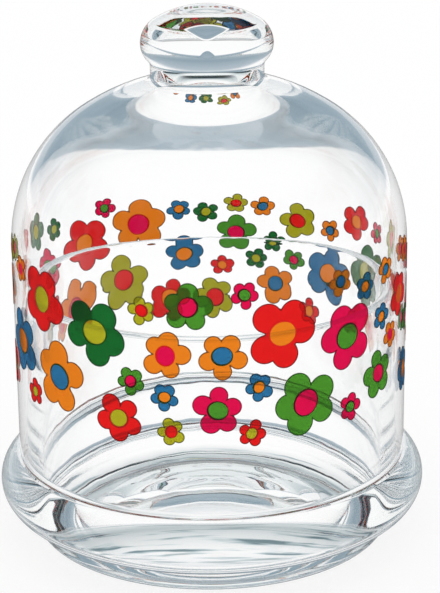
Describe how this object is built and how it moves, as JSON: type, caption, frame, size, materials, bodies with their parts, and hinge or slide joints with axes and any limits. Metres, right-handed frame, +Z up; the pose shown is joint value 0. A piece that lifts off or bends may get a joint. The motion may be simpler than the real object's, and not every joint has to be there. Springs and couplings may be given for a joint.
{
  "type": "glass storage jar",
  "caption": "Pressed glass jar on a wide round-edged foot, under a lift-off glass dome with a knob and a band of fired enamel flowers.",
  "frame": {"origin": "Middle of the foot ring, on the surface that the jar stands on", "axes": "+Z up, the axis of the jar and of the dome; the jar is round, so X and Y are free"},
  "size_m": [0.1322, 0.1322, 0.164],
  "materials": {
    "clear_glass": "clear pressed glass, fire-polished smooth, with a faint green-grey cast in thick places",
    "enamel_red": "fired glass enamel, bright red, printed thin, satin gloss",
    "enamel_orange": "fired glass enamel, orange, printed thin, satin gloss",
    "enamel_lime": "fired glass enamel, yellow-green, printed thin, satin gloss",
    "enamel_pink": "fired glass enamel, deep pink, printed thin, satin gloss",
    "enamel_green": "fired glass enamel, leaf green, printed thin, satin gloss",
    "enamel_blue": "fired glass enamel, blue, printed thin, satin gloss",
    "enamel_forest": "fired glass enamel, dark green, printed thin, satin gloss",
    "enamel_wine": "fired glass enamel, dark wine red, the rings round the centres of the flowers, printed thin, satin gloss"
  },
  "bodies": {
    "base": {"base_jar": "clear_glass"},
    "cover": {"dome_cover": "clear_glass", "enamel_red": "enamel_red", "enamel_orange": "enamel_orange", "enamel_lime": "enamel_lime", "enamel_pink": "enamel_pink", "enamel_green": "enamel_green", "enamel_blue": "enamel_blue", "enamel_forest": "enamel_forest", "enamel_wine": "enamel_wine"}
  },
  "joints": [
    {"name": "cover_lift", "type": "slide", "parent": "base", "child": "cover", "axis": [0, 0, 1], "range_m": [0, 0.08]}
  ]
}
